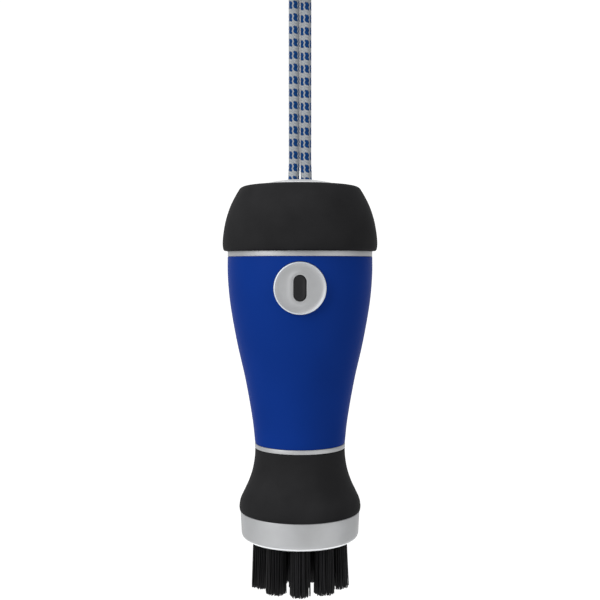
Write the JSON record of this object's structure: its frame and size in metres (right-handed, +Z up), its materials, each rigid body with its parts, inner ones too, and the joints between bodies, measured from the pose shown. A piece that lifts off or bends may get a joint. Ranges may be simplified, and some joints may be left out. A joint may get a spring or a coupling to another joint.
{
  "type": "club groove brush",
  "caption": "Round hand brush for golf club grooves, waisted handle with a front push button, hanging on a doubled braided cord from a carabiner.",
  "frame": {"origin": "the point inside the carabiner's top bend that bears on a bag's ring, on the brush's axis", "axes": "+Z up along the brush's axis, -Y towards the front with the button, +X to the right in the carabiner's plane"},
  "size_m": [0.0444, 0.0444, 0.2447],
  "materials": {
    "anodised_alloy": "natural anodised, satin",
    "stainless_steel": "plain, clean",
    "spring_steel": "bare spring steel",
    "braided_cord": "grey braid with blue flecks",
    "satin_metal": "satin silver",
    "soft_touch_black": "matt soft-touch black",
    "blue_shell": "satin blue",
    "acetal": "natural moulded acetal",
    "button_black": "fine matt black",
    "brake_rubber": "matt",
    "block_plastic": "moulded black",
    "bristle_nylon": "cut nylon filaments"
  },
  "bodies": {
    "carabiner": {"carabiner_frame": "anodised_alloy", "gate_pin": "stainless_steel"},
    "gate": {"carabiner_gate": "anodised_alloy", "gate_spring": "spring_steel"},
    "swivel": {"swivel_eye": "stainless_steel", "swivel_pin": "stainless_steel"},
    "cord_end": {"cord_end_cup": "anodised_alloy", "cord_clamp": "button_black", "cord_strand_left": "braided_cord", "cord_strand_right": "braided_cord"},
    "spool": {"reel_spool": "acetal", "spring_drum": "acetal", "power_spring": "spring_steel", "wound_cord": "braided_cord"},
    "button": {"release_button": "button_black"},
    "brake": {"brake_lever": "acetal", "brake_pad": "brake_rubber"},
    "handle": {"cord_plate": "satin_metal", "plate_nut": "stainless_steel", "cord_guide": "acetal", "top_cap": "soft_touch_black", "upper_ring": "satin_metal", "body_shell": "blue_shell", "button_bezel": "satin_metal", "bezel_clip": "spring_steel", "brake_pin": "stainless_steel", "brake_spring": "spring_steel", "spool_axle": "stainless_steel", "cord_run_left": "braided_cord", "cord_run_right": "braided_cord", "reel_frame_left": "stainless_steel", "reel_frame_right": "stainless_steel", "frame_rivet_1": "stainless_steel", "frame_rivet_2": "stainless_steel", "frame_rivet_3": "stainless_steel", "reel_tray": "acetal", "lower_ring": "satin_metal", "skirt": "soft_touch_black", "collar": "satin_metal", "bristle_block": "block_plastic", "head_washer": "spring_steel", "head_screw": "stainless_steel", "tuft_1": "bristle_nylon", "tuft_2": "bristle_nylon", "tuft_3": "bristle_nylon", "tuft_4": "bristle_nylon", "tuft_5": "bristle_nylon", "tuft_6": "bristle_nylon", "tuft_7": "bristle_nylon", "tuft_8": "bristle_nylon", "tuft_9": "bristle_nylon", "tuft_10": "bristle_nylon", "tuft_11": "bristle_nylon", "tuft_12": "bristle_nylon", "tuft_13": "bristle_nylon"}
  },
  "joints": [
    {"name": "gate_hinge", "type": "hinge", "parent": "carabiner", "child": "gate", "pos_m": [0.0105, 0, -0.0335], "axis": [0, -1, 0], "range_deg": [0, 28], "stiffness_Nm_per_rad": 0.02, "springref_deg": -28.65},
    {"name": "eye_swing", "type": "hinge", "parent": "carabiner", "child": "swivel", "pos_m": [0, 0, -0.0466], "axis": [1, 0, 0], "range_deg": [-80, 80]},
    {"name": "cord_swivel", "type": "hinge", "parent": "swivel", "child": "cord_end", "pos_m": [0, 0, -0.0569], "axis": [0, 0, 1], "continuous": true},
    {"name": "cord_pull", "type": "slide", "parent": "cord_end", "child": "handle", "axis": [0, 0, -1], "range_m": [0, 0.19], "stiffness_N_per_m": 4, "springref_m": -0.6, "deforming": ["cord_strand_left", "cord_strand_right"]},
    {"name": "spool_spin", "type": "hinge", "parent": "handle", "child": "spool", "pos_m": [0, 0.0012, -0.1544], "axis": [1, 0, 0], "range_deg": [0, 1310]},
    {"name": "button_press", "type": "slide", "parent": "handle", "child": "button", "axis": [0, 1, 0], "range_m": [0, 0.0015], "stiffness_N_per_m": 600, "springref_m": -0.0015},
    {"name": "brake_release", "type": "hinge", "parent": "handle", "child": "brake", "pos_m": [0, -0.0142, -0.1616], "axis": [1, 0, 0], "range_deg": [-10.6, 0]}
  ],
  "couplings": [
    {"joint": "spool_spin", "follows": "cord_pull", "rad_per_m": 119.76},
    {"joint": "brake_release", "follows": "button_press", "rad_per_m": -122.7}
  ]
}
